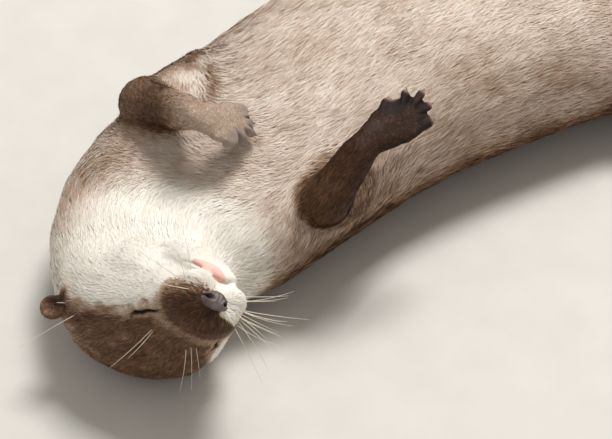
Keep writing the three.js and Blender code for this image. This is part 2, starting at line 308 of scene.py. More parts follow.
def melt_seam(first, second):
    """Blurs the flesh where two of its solids meet."""
    window = window_of([first, second])
    apart = np.maximum(distances_to([first], window), distances_to([second], window))
    share = np.clip(1.4 - apart / SEAM_REACH, 0, 1)
    flesh[window] += (smoothed(flesh[window].copy(), SEAM_BLUR) - flesh[window]) * share


add_flesh(["neck", "chest", "belly", "hips"], TRUNK_COAT, 1, 3, TRUNK, 0)
add_flesh(["tail_base", "tail_middle", "tail_tip"], 1.9, 10, 2, TAIL, 0.85)
for side in SIDES:
    for length, plan in LIMBS.items():
        add_flesh([length + side], *plan)
    for paw, limb in LIMB_OF_PAW.items():
        melt_seam(limb + side, paw + side)
add_flesh(["head"], coat_on_head, 13, 2, HEAD, 0)
add_flesh(["nose"], 3.4, 1, 0, HEAD, 0)
add_flesh(["lower_jaw"], coat_on_head, 2.5, 1, HEAD, 0)
for side in SIDES:
    add_flesh(["ear_" + side], 0.4, 2, 0, HEAD, 0.9)
print("flesh joined after", round(time.time() - started, 1), "s")

# %% Shrink it by the coat, and close the lids over the eyes
outer_points, outer_quads = drawn(flesh)
skin_field = distances(outer_points, whole, quads=outer_quads) + coat
LID_SET_BACK, LID_FILLET = 0.7 * MM, 6 * MM
for side in SIDES:
    window = window_of(["eye_" + side])
    lid = distances_to(["eye_" + side], window) + LID_SET_BACK
    skin_field[window] = softly_joined(skin_field[window], lid, LID_FILLET)
skin_points, skin_quads = drawn(skin_field)
skin_mesh = bpy.data.meshes.new("skin")
skin_mesh.from_pydata(skin_points, [], skin_quads)
skin = add_object("skin", skin_mesh)
print("skin:", len(skin_quads), "quads after", round(time.time() - started, 1), "s")

# %% [markdown]
# ## Fingers
# Claws, bare finger tips and the gaps between fingers all start from the tips. These are found as
# the hills of a paw: its points are taken in turn, the furthest from the wrist first. A point with
# no earlier neighbour is the top of a new hill. Where two hills meet, the lower one counts as a
# finger if its top stands well clear of the meeting point and near the furthest tip.

# %% Find the finger tips
TIP_STANDS_OUT, HAND_SPREAD, FINGER_LENGTH = 0.8 * MM, 38 * MM, 9 * MM
PAWS = {paw + side: limb + side for paw, limb in LIMB_OF_PAW.items() for side in SIDES}


def finger_tips(paw):
    """The tips of a paw's digits with the direction that each points in."""
    points, corners = mesh_arrays(frame["nodes"][paw].data)
    points, same = np.unique(points.round(5), axis=0, return_inverse=True)
    neighbours = [set() for _ in points]
    for corner in same.ravel()[corners.astype(int)]:
        for i in corner:
            neighbours[i].update(corner)
    reach = size_of(points - middle_of(PAWS[paw]))
    hill, tops = {}, []

    def top_of(i):
        while hill[i] != i:
            i = hill[i]
        return i

    for i in np.argsort(-reach):
        met = {top_of(j) for j in neighbours[i] if j in hill}
        highest = max(met, key=lambda t: reach[t], default=i)
        hill[i] = highest
        for lower in met - {highest}:
            hill[lower] = highest
            if reach[lower] - reach[i] > TIP_STANDS_OUT:
                tops.append(lower)
    tops.append(highest)
    tips = []
    for top in tops:
        if size_of(points[top] - points[highest]) <= HAND_SPREAD:
            around = points[size_of(points - points[top]) < FINGER_LENGTH]
            tips.append((points[top], unit(points[top] - around.mean(0))))
    return tips


def bump(distance, width):
    return np.exp(-(distance / width) ** 2)


tips_of = {paw: np.array([tip for tip, _ in finger_tips(paw)]) for paw in PAWS}
for paw, tips in tips_of.items():
    print(paw, "digits:", len(tips))

# %% Say where the gaps between fingers run
GAP_LENGTH, GAP_WIDTH, GAP_THROUGH, PAST_WEB = {"forepaw": 9.5, "hind_foot": 13}, 0.75, 7, 4


def sampled(field, points):
    """A field's values at points of the skin, from the nearest voxel."""
    cells = np.rint(points / VOXEL).astype(int) - grid_from
    cells = np.clip(cells, 0, np.array(field.shape) - 1)
    return field[cells[:, 0], cells[:, 1], cells[:, 2]]


def on_limbs(points):
    return np.isin(sampled(region, points), (ARMS, LEGS))


def gap_of(points):
    """How deep a place lies in the gap between two fingers: 1 at the web, 0 on the palm."""
    gap = np.zeros(len(points))
    for paw, tips in tips_of.items():
        spread = np.linalg.svd(tips - tips.mean(0))[2][0]
        tips = tips[np.argsort(tips @ spread)]
        for a, b in zip(tips[:-1], tips[1:]):
            web = (a + b) / 2
            inward = unit(middle_of(paw) - web)
            wall = unit((b - a) - inward * ((b - a) @ inward))
            offset = (points - web) / MM
            along, aside = offset @ inward, offset @ wall
            through = size_of(offset - along[:, None] * inward - aside[:, None] * wall)
            fade = np.clip((GAP_LENGTH[paw.rsplit("_", 1)[0]] - along) / 5, 0, 1)
            inside = (along > -PAST_WEB) & (through < GAP_THROUGH)
            gap = np.maximum(gap, bump(aside, GAP_WIDTH) * fade * inside)
    return gap * on_limbs(points)


print("gaps between fingers:", sum(len(tips) - 1 for tips in tips_of.values()))

# %% [markdown]
# ## A finer mesh where the eye rests
# The grid gives even squares of 0.8 mm. That is more than the trunk needs under its fur, and too
# little for the eyelids. So the face and the finger tips of the hands are divided once more, the
# rims of the eyes twice, and the trunk is thinned.

# %% Divide the face, thin the trunk
def all_points(mesh):
    return read(mesh.vertices, "co", 3, float)


def all_normals(mesh):
    return read(mesh.vertex_normals, "vector", 3).astype(float)


def move_points(mesh, points):
    mesh.vertices.foreach_set("co", points.ravel())
    mesh.update()


@contextmanager
def reshaping(mesh):
    """A mesh open for editing, written back when the work is done."""
    work = bmesh.new()
    work.from_mesh(mesh)
    yield work
    work.to_mesh(mesh)
    work.free()


def divide_where(mesh, chosen):
    """Cuts each edge in two where both of its ends are chosen."""
    with reshaping(mesh) as work:
        edges = [e for e in work.edges if chosen[e.verts[0].index] and chosen[e.verts[1].index]]
        bmesh.ops.subdivide_edges(work, edges=edges, cuts=1, use_grid_fill=True)


def relax(mesh, chosen, rounds, share=0.5):
    """Moves chosen points towards the middle of their neighbours."""
    first, second = read(mesh.edges, "vertices", 2, np.int32).T
    points = all_points(mesh)
    count = np.bincount(first, minlength=len(points)) + np.bincount(second, minlength=len(points))
    for _ in range(rounds):
        total = np.zeros_like(points)
        for axis in range(3):
            total[:, axis] = (np.bincount(first, points[second, axis], len(points))
                              + np.bincount(second, points[first, axis], len(points)))
        points += (total / count[:, None] - points) * (share * chosen)[:, None]
    move_points(mesh, points)


def keep_largest(mesh):
    """Removes islands of a few faces that the grid leaves in narrow folds."""
    with reshaping(mesh) as work:
        open_ends = [max(work.verts, key=lambda v: v.co.z)]
        open_ends[0].tag = True
        while open_ends:
            for edge in open_ends.pop().link_edges:
                for v in edge.verts:
                    if not v.tag:
                        v.tag = True
                        open_ends.append(v)
        loose = [v for v in work.verts if not v.tag]
        bmesh.ops.delete(work, geom=loose, context="VERTS")
    return len(loose)


print("loose points removed:", keep_largest(skin_mesh))
EYES = {side: to_head(middle_of("eye_" + side)) for side in SIDES}
FACE_FROM, FACE_RADIUS, FACE_ENDS, FACE_FADE = -44, 36, 15, 4
BY_EYE, BY_TIP = 10.5, 12 * MM


def on_face(points):
    """How surely each point belongs to the face: 1 on the muzzle, 0 on the rest of the body."""
    x, y, z = to_head(points).T
    inside = np.minimum(x - FACE_FROM, FACE_RADIUS - np.hypot(y, z))
    return np.clip(np.minimum(inside, FACE_ENDS - x) / FACE_FADE, 0, 1)


def nearest_of(points, places):
    """Distance from each point to the nearest of some places."""
    return np.min([size_of(points - place) for place in places], 0)


relax(skin_mesh, np.full(len(skin_mesh.vertices), 1.0), 2)
divide_where(skin_mesh, on_face(all_points(skin_mesh)) > 0)
divide_where(skin_mesh, nearest_of(to_head(all_points(skin_mesh)), EYES.values()) < BY_EYE)
hand_tips = np.concatenate([tips_of["forepaw_left"], tips_of["forepaw_right"]])
divide_where(skin_mesh, nearest_of(all_points(skin_mesh), hand_tips) < BY_TIP)
relax(skin_mesh, on_face(all_points(skin_mesh)), 3)

FINE_COAT, THINNED_BY = 1.0 * MM, 0.87
thinning = skin.vertex_groups.new(name="trunk")
points = all_points(skin_mesh)
plain = (on_face(points) == 0) & (sampled(coat, points) > FINE_COAT)
thinning.add(np.nonzero(plain)[0].tolist(), 1.0, "REPLACE")
thin = skin.modifiers.new("thin", "DECIMATE")
thin.vertex_group = "trunk"
thin.ratio = 1 - THINNED_BY * plain.sum() / len(plain)
evaluated = skin.evaluated_get(bpy.context.evaluated_depsgraph_get())
thinned = bpy.data.meshes.new_from_object(evaluated)
skin.modifiers.clear()
skin.vertex_groups.clear()
skin.data = thinned
skin_mesh = thinned
print("skin:", len(mesh_arrays(skin_mesh)[1]), "triangles")

# %% [markdown]
# ## Eyelids and mouth
# The otter sleeps, so each eye is a dark slit between two lids, with a bare rim on the side of the
# brow. The mouth is a line that runs back from under the nose. Both are pressed into the fine
# mesh as narrow grooves: a vertex sinks by how near it lies to a curve.

# %% Press in the lids
FLOOR_CLEARANCE = 0.2 * MM
HALF_SLIT, SLIT_SIDE = 8.6, {"left": 1, "right": -1}
SLIT_FRONT, SLIT_BACK = np.array([-17.6, 14.9, 8.4]), np.array([-34.6, 20.4, 12.0])
SLIT_WIDTH = [-8, -3, 2, 5, 8.5], [0.35, 0.5, 0.85, 0.8, 0.35]
SLIT_SINKS = 0.8
LID_FOLDS = [(1.3, 0.8, 0.4), (-1.5, 0.9, 0.3), (3.4, 0.6, -0.25), (-4.0, 0.7, -0.2)]


def eye_places(points, side):
    """Places round an eye in mm: along its slit to the back, across it to the crown, and out."""
    mirror = np.array([1, SLIT_SIDE[side], 1])
    middle = (SLIT_FRONT + SLIT_BACK) / 2 * mirror
    along = unit((SLIT_BACK - SLIT_FRONT) * mirror)
    out = middle - EYES[side]
    out = unit(out - along * (out @ along))
    across = np.cross(along, out)
    across = across * np.sign(across[2])
    offset = to_head(points) - middle
    return offset @ along, offset @ across, offset @ out


def slit_depth(points, side):
    """Distance across the slit in mm, 1 to 0 where it tapers off at its ends, and its width."""
    along, across, out = eye_places(points, side)
    line = 0.5 * (along / HALF_SLIT) ** 2 + 0.25 * np.sin(along * 0.9)
    taper = np.clip(1.15 - np.abs(along / HALF_SLIT) ** 3, 0, 1) * (out > -6)
    return across - line, taper, np.interp(along, *SLIT_WIDTH)


points, normals = all_points(skin_mesh), all_normals(skin_mesh)
depth = np.zeros(len(points))
for side in EYES:
    off, taper, width = slit_depth(points, side)
    depth -= SLIT_SINKS * bump(off, width) * taper
    for place, wide, height in LID_FOLDS:
        depth += height * bump(off - place, wide) * taper
print("lids rise by", round(depth.max(), 2), "mm and sink by", round(-depth.min(), 2), "mm")

# %% Press in the mouth and the gaps between fingers
MOUTH = np.array([[-5.3, 0, -10.2], [-5.5, 3.2, -10.8], [-7.2, 6.0, -12.2], [-10.6, 8.4, -13.4],
                  [-16, 10.4, -14.8], [-22, 12.5, -15.2]])
PHILTRUM = np.array([[3.0, 0.6, -5.0], [-1.0, 0.3, -8.0], [-5.3, 0, -10.2]])
MOUTH_SINKS, LIP_RISES, PHILTRUM_SINKS, GAP_SINKS = 0.9, 0.5, 0.6, 1.1


def beside(points, a, b):
    """How far along a straight length each point lies, 0 to 1, and how far away from it."""
    t = np.clip((points - a) @ (b - a) / ((b - a) @ (b - a)), 0, 1)
    return t, size_of(points - a - t[:, None] * (b - a))


def distance_to_path(points, path):
    """Distance from each point to a path of straight lengths, and how far along it, 0 to 1."""
    best, place = np.full(len(points), 1e9), np.zeros(len(points))
    for k, (a, b) in enumerate(zip(path[:-1], path[1:])):
        t, d = beside(points, a, b)
        place = np.where(d < best, (k + t) / (len(path) - 1), place)
        best = np.minimum(best, d)
    return best, place


def mirrored(points):
    """Head places folded over to the left side."""
    return points * [1, 0, 1] + np.abs(points) * [0, 1, 0]


in_head = mirrored(to_head(points))
to_mouth, mouth_place = distance_to_path(in_head, MOUTH)
depth -= MOUTH_SINKS * bump(to_mouth, 0.7) * np.clip((1 - mouth_place) * 4, 0, 1)
below_mouth = in_head[:, 2] < np.interp(in_head[:, 0], MOUTH[::-1, 0], MOUTH[::-1, 2]) - 0.5
depth += LIP_RISES * bump(to_mouth - 2.2, 1.5) * below_mouth * (mouth_place < 0.8)
depth -= PHILTRUM_SINKS * bump(distance_to_path(in_head, PHILTRUM)[0], 0.6)
depth *= on_face(points) > 0
depth -= GAP_SINKS * gap_of(points)
points += normals * depth[:, None] * MM
points[:, 2] = np.maximum(points[:, 2], FLOOR_CLEARANCE)
move_points(skin_mesh, points)
skin_mesh.shade_smooth()
print("deepest fold in mm:", round(-depth.min(), 2))

# %% [markdown]
# ## Eyes
# The eyeball is a dark glossy ball of about 8 mm, with the clear front a little more curved. It
# sits as deep as a real one, so the closed lids cover it.

# %% Make the eyeballs
EYE_RADIUS = 4.0


def ball(name, centre, radii, axes, shape, rings=24, sides=36):
    """A closed round mesh. Shape changes its unit points before they are scaled."""
    mesh = bpy.data.meshes.new(name)
    with reshaping(mesh) as work:
        bmesh.ops.create_uvsphere(work, u_segments=sides, v_segments=rings, radius=1)
    move_points(mesh, centre + (shape(all_points(mesh)) * radii * MM) @ axes)
    mesh.shade_smooth()
    return add_object(name, mesh)


def with_cornea(points):
    """The front of the ball swells a little, as the clear cornea does."""
    facing = np.clip((points[:, 2] - 0.7) / 0.3, 0, 1)
    return points * (1 + 0.06 * facing * facing)[:, None]


eyeballs = {}
for side in EYES:
    out = unit(((SLIT_FRONT + SLIT_BACK) / 2 * [1, SLIT_SIDE[side], 1] - EYES[side]) @ head_axes)
    across = unit(np.cross(out, head_forward))
    eyeballs[side] = ball("eyeball_" + side, from_head([EYES[side]])[0], EYE_RADIUS,
                          np.array([across, np.cross(out, across), out]), with_cornea)
print("eyeballs:", [o.name for o in eyeballs.values()])

# %% [markdown]
# ## Nose
# The nose pad is bare, dark and leathery. It is broad at the top, narrows to the lip, and has a
# comma-shaped nostril on each side with a raised rim. It starts as a ball, and each feature is a
# smooth move of its points. A number on each point says how deep in a nostril it lies; the
# nose leather uses it to paint shade near black into the holes.

# %% Model the nose pad
PAD_CENTRE, NOSE_RADII = NOSE_MIDDLE + [-0.3, 0.8, 0.1], np.array([4.7, 6.5, 4.8])
NOSTRIL_ASIDE, NOSTRIL_HEIGHT = 0.66, -0.14
SQUARENESS = 3.2
PAD_WIDTH = [-1, -0.3, 0.5, 1], [0.55, 0.95, 1.0, 0.8]


def nostril_of(y, z):
    """How deep in a nostril a place on the unit pad lies: 1 in the hole, less along its tail."""
    aside = np.abs(y) - NOSTRIL_ASIDE
    hole = np.hypot(aside / 0.25, (z - NOSTRIL_HEIGHT + 0.3 * aside) / 0.21)
    tail = np.hypot((aside - 0.34) / 0.30, (z - NOSTRIL_HEIGHT - 0.03 + 0.2 * aside) / 0.10)
    return bump(hole, 0.9), bump(tail, 0.9), hole


def nose_form(points):
    """Unit points of a ball turned into a nose pad: x forward, y left, z towards the crown."""
    x, y, z = points.T
    square = (np.abs(y) ** SQUARENESS + np.abs(z) ** SQUARENESS) ** (-1 / SQUARENESS)
    swell = 1 + (np.minimum(square * np.hypot(y, z), 1.35) - 1) * 0.45
    y, z = y * swell, z * swell
    y = y * np.interp(z, *PAD_WIDTH)
    z = np.where(z > 0, 0.62 * z, z)
    x = x - 0.14 * np.clip(x, 0, 1) ** 2 - 0.12 * bump(y, 0.10) * (x > 0) * (z < 0.3)
    hole, tail, away = nostril_of(y, z)
    front = x > 0
    x = x - front * (0.75 * hole + 0.35 * tail) + 0.15 * front * bump(away - 1.45, 0.4)
    x = x + 0.02 * front * np.sin(y * 23 + 2 * np.sin(z * 9)) * np.sin(z * 21)
    return np.stack([x, y, z], 1)


nose_pad = ball("nose_pad", from_head([PAD_CENTRE])[0], NOSE_RADII, head_axes, nose_form,
                rings=110, sides=150)
in_pad = (to_head(all_points(nose_pad.data)) - PAD_CENTRE) / NOSE_RADII
hole, tail, _ = nostril_of(in_pad[:, 1], in_pad[:, 2])
nostril_depth = np.maximum(hole ** 1.5, 0.8 * tail) * (in_pad[:, 0] > -0.1)
print("nose pad:", len(nose_pad.data.vertices), "points")

# %% [markdown]
# ## Claws
# This otter's claws are small blunt pegs that do not reach past the finger tips. Each is a ball
# drawn out to a hooked peg, seated in the skin of its finger.

# %% Set a claw on each finger tip
CLAW_RADII, CLAW_SEAT = np.array([1.7, 0.75, 0.7]), 0.6 * MM


def claw_form(points):
    """A unit ball turned into a peg that tapers and hooks down at its tip."""
    x, y, z = points.T
    thin = np.interp(x, [-1, 0.2, 1], [1, 0.8, 0.35])
    return np.stack([x, y * thin, z * thin - 0.35 * np.clip(x, 0, 1) ** 2], 1)


def join_meshes(name, parts):
    """Joins lists of (points, faces) into one mesh object."""
    all_parts, faces, start = [], [], 0
    for part_points, part_faces in parts:
        all_parts.append(part_points)
        faces += [[start + i for i in face] for face in part_faces]
        start += len(part_points)
    mesh = bpy.data.meshes.new(name)
    mesh.from_pydata(np.concatenate(all_parts).tolist(), [], faces)
    mesh.shade_smooth()
    return add_object(name, mesh)


skin_tree = BVHTree.FromPolygons(*[a.tolist() for a in mesh_arrays(skin_mesh)])
claw_parts = []
for paw in PAWS:
    back_of_paw = unit(np.cross(unit(middle_of(paw) - middle_of(PAWS[paw])), [0, 0, 1]))
    for tip, pointing in finger_tips(paw):
        place = np.array(skin_tree.find_nearest(Vector(tip))[0])
        side_axis = unit(np.cross(pointing, back_of_paw + [0, 0, 0.3]))
        claw_axes = np.array([pointing, side_axis, np.cross(side_axis, pointing)])
        claw = ball("claw", place - pointing * CLAW_SEAT, CLAW_RADII, claw_axes, claw_form,
                    rings=8, sides=10)
        claw_parts.append((all_points(claw.data), [list(p.vertices) for p in claw.data.polygons]))
        bpy.data.objects.remove(claw)
claws = join_meshes("claws", claw_parts)
print("claws:", len(claw_parts))

# %% [markdown]
# ## Markings
# The otter is dark brown above and cream on the cheeks and throat, with a pinkish tan belly. One
# number from 0, brown, to 1, cream, says how pale the fur is at a place, with painted light and
# shade folded in. Skin and coat take it from the same function, so that they carry the same
# markings.

# %% Make soft edges and blotches
def soft_step(value, low, high):
    t = np.clip((value - low) / (high - low), 0, 1)
    return t * t * (3 - 2 * t)


def waves(points, size):
    """Smooth noise from -1 to 1 whose blotches are about size mm across."""
    p = points / (size * MM)
    total = np.zeros(len(p))
    for k, (a, b, c) in enumerate(WAVES):
        bend = 0.7 * np.sin(p @ [c, a, b] * 1.7 + k)
        total += np.sin(p @ [a, b, c] * 3.1 + bend * 2 + 1.3 * k)
    return total / len(WAVES)


WAVES = [(1.0, 0.3, -0.4), (-0.5, 1.1, 0.2), (0.3, -0.6, 1.2), (0.9, 0.8, 0.7)]
blotching = waves(all_points(skin_mesh), 6)
print("blotches run from", blotching.min().round(2), "to", blotching.max().round(2))

# %% Say how pale the limbs and ears are, with painted light on the arms and painted shade in the ears
LIMB_PALE, ARM_REACH, ALONG_ARM = 0.14, 26 * MM, [-0.9, -0.3, 0.15, 0.45, 0.8]
# Painted light on the arms: painted sheen makes the left arm paler towards the hand, painted shade
# makes the right arm darker towards it.
ARM_PALE_AND_LIGHT = {"left": [0.32, 0.19, 0.12, 0.37, 0.59], "right": [0.17, 0.11, 0.08, 0.04, 0.02]}
EAR_HOLLOW = np.array([-73.0, 36.5, 12.5])
EARS = [middle_of("ear_" + side) for side in SIDES]


def ear_rim_of(points):
    """1 at the middle of each ear, fading out beyond its rim."""
    return 1 - soft_step(nearest_of(points, EARS) / MM, 7, 12)


def ear_hollow_shade_of(points):
    """Painted shade: 1 in the hollow of each ear, on the side of the nose."""
    return bump(size_of(mirrored(to_head(points)) - EAR_HOLLOW), 6.5)


def brown_of(points):
    """How pale the brown fur of limbs and tail is. On the arms it carries painted light: painted
    sheen lightens the left one from the forearm to the hand, painted shade darkens the right one.
    """
    level = np.full(len(points), LIMB_PALE)
    for side, levels in ARM_PALE_AND_LIGHT.items():
        arm, hand = middle_of("forearm_" + side), middle_of("forepaw_" + side)
        along = (points - arm) @ (hand - arm) / ((hand - arm) @ (hand - arm))
        away = size_of(points - arm - np.clip(along, -1, 1)[:, None] * (hand - arm))
        on_arm = np.interp(along, ALONG_ARM, levels)
        level = np.where((away < ARM_REACH) & (along > -1.2), on_arm, level)
    return level


print("pale arms:", ARM_PALE_AND_LIGHT)

# %% Say how pale the head and trunk are
# The edge between brown and cream, as (ahead, height) in the head's frame, in mm.
BROW_LINE = np.array([[-95, 10], [-73, 12], [-60, 14], [-42, 13.5], [-36, 12.3], [-30, 10.4],
                      [-25, 10.5], [-20, 13.0], [-17, 12.0], [-15.5, 6.0], [-14, 1.5], [-10, -0.5],
                      [-6, -1.5], [-3, -2.7], [4, -3]])
THROAT_PALE, CHEEK_PALE, BELLY_PALE, CROWN_PALE, BACK_PALE = 0.92, 0.97, 0.69, 0.21, 0.20
THROAT_ENDS, BELLY_STARTS = -290, -225
EDGE_PROFILE = [-4.5, -3.3, -1.5, 0, 1.5], [1, 0.52, 0.34, 0.2, 0]
EDGE_FADE = [-60, -30, -24, -20, -17, -14, -12, -8, -4], [1.0, 0.65, 1.2, 1.8, 3, 2, 1.5, 1.1, 0.8]
# Marks of fur and of painted light and shade: a path through the head's frame in mm, how far it
# reaches, and how pale it is. The inner arm is pale fur and the side of the neck brown fur; the top
# of the left wrist is a painted highlight, and the armpit and the gap behind the arm are painted
# shade.
INNER_ARM = np.array([[-93.8, 13.0, -110.5], [-90.5, 8.0, -112.0]])
LIT_WRIST_TOP = np.array([[-60.0, 30.0, -92.0], [-38.0, 31.0, -85.0]])
NECK_SIDE = np.array([[-99.0, 38.0, -34.0], [-95.5, 35.7, -48.2], [-90.0, 32.0, -56.0],
                      [-92.0, 34.0, -76.0]])
ARMPIT_SHADE = np.array([[-91.0, 3.5, -119.4], [-85.2, 3.2, -113.6], [-80.8, 2.8, -108.1],
                   [-78.2, 2.9, -103.6]])
SHADOW_BEHIND_ARM = np.array([[-106.4, 6.6, -127.2], [-103.0, 10.1, -121.7]])
# The top of the left wrist is a painted highlight; the inner arm is pale fur.
PALE_FUR_AND_LIGHT = [(INNER_ARM, 5.0, 0.9), (LIT_WRIST_TOP, 6.5, 0.52)]
DARK_FUR_AND_SHADE = [(NECK_SIDE, 14, 0.52), (ARMPIT_SHADE, 3.4, 0.2), (SHADOW_BEHIND_ARM, 4.0, 0.2)]


def head_paleness(points):
    """The head: brown on the crown, cream below a ragged edge that runs from brow to lip."""
    x, left, z = to_head(points).T
    on_pad = soft_step(x, -24, -20)
    ragged = 1.6 * waves(points, 6) + 0.9 * waves(points, 2.5)
    edge = np.interp(x, *BROW_LINE.T) + ragged * (1 - on_pad)
    edge += 1.0 + 3.0 * waves(points, 1.1) * on_pad * (z < 3)
    cheek = np.interp((z - edge) / np.interp(x, *EDGE_FADE), *EDGE_PROFILE)
    white_lip = soft_step(-left, 2.5, 5) * soft_step(x, -9, -5.5) * (1 - soft_step(z, 2.6, 4.2))
    cheek = np.maximum(cheek, white_lip)
    chin = soft_step(-z, 12, 15) * soft_step(x, -34, -20) + white_lip
    # Painted shade: the brown darkens towards the nose, as the shaded band between the nose and the
    # eye.
    crown = CROWN_PALE + 0.07 * waves(points, 8) - 0.10 * soft_step(x, -26, -6)
    return crown + (CHEEK_PALE - crown) * cheek + 0.12 * np.clip(chin, 0, 1)


def trunk_paleness(points, normals):
    """The trunk: brown on the back, cream at the throat, tan and blotched on the belly."""
    by_height = soft_step(points[:, 2] / MM, 12, 42) * soft_step(normals[:, 2], -0.65, 0.0)
    along = soft_step(points[:, 0] / MM, THROAT_ENDS, BELLY_STARTS)
    trunk = THROAT_PALE + (BELLY_PALE - THROAT_PALE) * along
    trunk -= 0.10 * soft_step(np.abs(normals[:, 1]), 0.4, 0.95) * along
    trunk = BACK_PALE + (trunk - BACK_PALE) * by_height
    return trunk + (0.07 * waves(points, 22) * along + 0.05 * waves(points, 7))


def paleness_of(points, normals):
    """How pale the fur is, from 0, brown, to 1, cream, with painted light and shade folded in."""
    places = to_head(points)
    x, y, z = places.T
    head_share = (1 - soft_step(-x, 62, 96)) * (1 - soft_step(np.hypot(y, z), 48, 62))
    pale = trunk_paleness(points, normals)
    pale += (head_paleness(points) - pale) * head_share
    brown = sampled(browning, points)
    pale = pale * (1 - brown) + brown_of(points) * brown
    # Pale fur of the inner arm, and a painted highlight on the top of the left wrist.
    for path, reach, level in PALE_FUR_AND_LIGHT:
        pale += (level - pale) * bump(distance_to_path(places, path)[0], reach)
    # Painted shade darkens the fur in the slit of each eye; the brow side of the slit is paler, as
    # a tan lid rim with a painted highlight.
    for side in EYES:
        off, taper, width = slit_depth(points, side)
        pale *= 1 - 0.85 * bump(off, 0.4 + 0.35 * width) * taper
        pale += np.clip(0.5 - pale, 0, 1) * bump(off - 1.9, 0.9) * taper
    # Brown fur at the side of the neck, and painted shade in the armpit and behind the arm.
    for path, reach, level in DARK_FUR_AND_SHADE:
        pale += (level - pale) * bump(distance_to_path(places, path)[0], reach) * (pale > level)
    pale += (0.36 - pale) * ear_rim_of(points)
    # Painted shade darkens the hollow of each ear.
    return np.clip(pale * (1 - 0.8 * ear_hollow_shade_of(points)), 0, 1)


def set_number(mesh, name, values):
    """Stores one number per point for the materials to read."""
    layer = mesh.attributes.new(name, "FLOAT", "POINT")
    layer.data.foreach_set("value", np.asarray(values, np.float32))


points, normals = all_points(skin_mesh), all_normals(skin_mesh)
skin_pale = paleness_of(points, normals)
set_number(skin_mesh, "pale", skin_pale)
print("paleness of the skin:", skin_pale.min().round(2), "to", skin_pale.max().round(2))

# %% Say where the skin is bare or pink, and where shade is painted dark
PALMS = {"forepaw_left": (-0.2, 0.7, -0.69), "forepaw_right": (0.36, 0.46, -0.81)}
BARE_FINGER = {"forepaw_left": (6, 11), "forepaw_right": (8, 13),
               "hind_foot_left": (6, 12), "hind_foot_right": (6, 12)}
LIP = np.array([[-15.6, 10.2, -15.6], [-11.0, 8.6, -15.2], [-7.6, 6.4, -14.2], [-6.0, 3.4, -12.9],
                [-5.7, 0.4, -11.7]])
LIP_HALF_WIDTH = [0, 0.2, 0.5, 0.8, 1], [0.9, 1.5, 2.4, 2.6, 1.8]


def bareness_of(points, normals):
    """1 where no fur grows: finger tips, palms, gaps between fingers, the pink lip and the nose."""
    bare = np.zeros(len(points))
    limbs = on_limbs(points)
    for paw, tips in tips_of.items():
        away = nearest_of(points, tips) / MM
        bare = np.maximum(bare, (1 - soft_step(away, *BARE_FINGER[paw])) * limbs)
        if paw in PALMS:
            low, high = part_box(paw)
            inside = np.all((points > np.array(low)) & (points < np.array(high)), axis=1)
            palm = soft_step(normals @ unit(PALMS[paw]), 0.2, 0.5)
            bare = np.maximum(bare, palm * inside * limbs)
    offset = (to_head(points) - PAD_CENTRE) / NOSE_RADII
    offset[:, 2] *= np.where(offset[:, 2] > 0, 1.5, 1)
    bare = np.maximum(bare, 1 - soft_step(size_of(offset), 1.0, 1.15))
    return np.maximum.reduce([bare, pinkness_of(points), gap_of(points)])


def pinkness_of(points, wider=0):
    """1 on the bare pink lower lip, less at the tips of the right hand."""
    away, place = distance_to_path(to_head(points), LIP)
    half = np.interp(place, *LIP_HALF_WIDTH) + wider
    pink = 1 - soft_step(away, half - 0.6, half + 0.6)
    from_tip = nearest_of(points, tips_of["forepaw_right"]) / MM
    return np.maximum(pink, 0.3 * (1 - soft_step(from_tip, 1.5, 4.5)))


def by_slit_of(points):
    """The lids: 1 where no tuft may hide the slit of an eye, and how far away the slit is in mm."""
    clear, nearest = np.zeros(len(points)), np.full(len(points), 99.0)
    for side in EYES:
        off, taper, width = slit_depth(points, side)
        clear = np.maximum(clear, 1.1 * bump(off, 0.7 + 0.5 * width) * (taper > 0.1))
        nearest = np.where(taper > 0, np.minimum(nearest, np.abs(off)), nearest)
    return clear, nearest


def shortness_of(points):
    """How much shorter fur is close to the nose pad, beside the pink lip and on the ears."""
    from_pad = size_of(to_head(points) - PAD_CENTRE)
    from_lip = distance_to_path(to_head(points), LIP)[0]
    by_nose = np.interp(np.minimum(from_pad - 2, from_lip + 2), [4, 14], [0.28, 1])
    return by_nose * np.interp(nearest_of(points, EARS) / MM, [7, 11], [0.45, 1])


def painted_shade_of(points):
    """Painted shade: 1 deep in the slits of the eyes, less in the mouth line and the gaps between
    fingers.
    """
    dark = np.zeros(len(points))
    for side in EYES:
        off, taper, width = slit_depth(points, side)
        dark = np.maximum(dark, 1.2 * bump(off, width) * taper)
    away, place = distance_to_path(mirrored(to_head(points)), MOUTH)
    dark = np.maximum(dark, 0.6 * bump(away, 0.35) * (place < 0.95))
    return np.clip(np.maximum(dark, 0.75 * gap_of(points) ** 2), 0, 1)


set_number(skin_mesh, "bare", bareness_of(points, normals))
set_number(skin_mesh, "pink", pinkness_of(points))
# The dark layer is painted shade in the eye slits, the mouth line, the gaps between fingers and the
# ear hollows.
set_number(skin_mesh, "dark", np.maximum(painted_shade_of(points), 0.7 * ear_hollow_shade_of(points)))
# Painted shade in the nostril holes.
set_number(nose_pad.data, "dark", nostril_depth)
print("markings set after", round(time.time() - started, 1), "s")

# %% [markdown]
# ## The coat
# Each tuft is a thin curved leaf of three triangles: two points at the root, two in the middle and
# one at the tip. Tufts lie along the body from nose to tail and down each leg, as an otter's fur
# does, and they follow the curve of the skin, so that none stands off as a thorn. How long they
# are follows the depth of the coat, so they are smallest on face and feet.

# %% Find which way the fur lies
def path_of(*nodes):
    return [middle_of(node) for node in nodes]


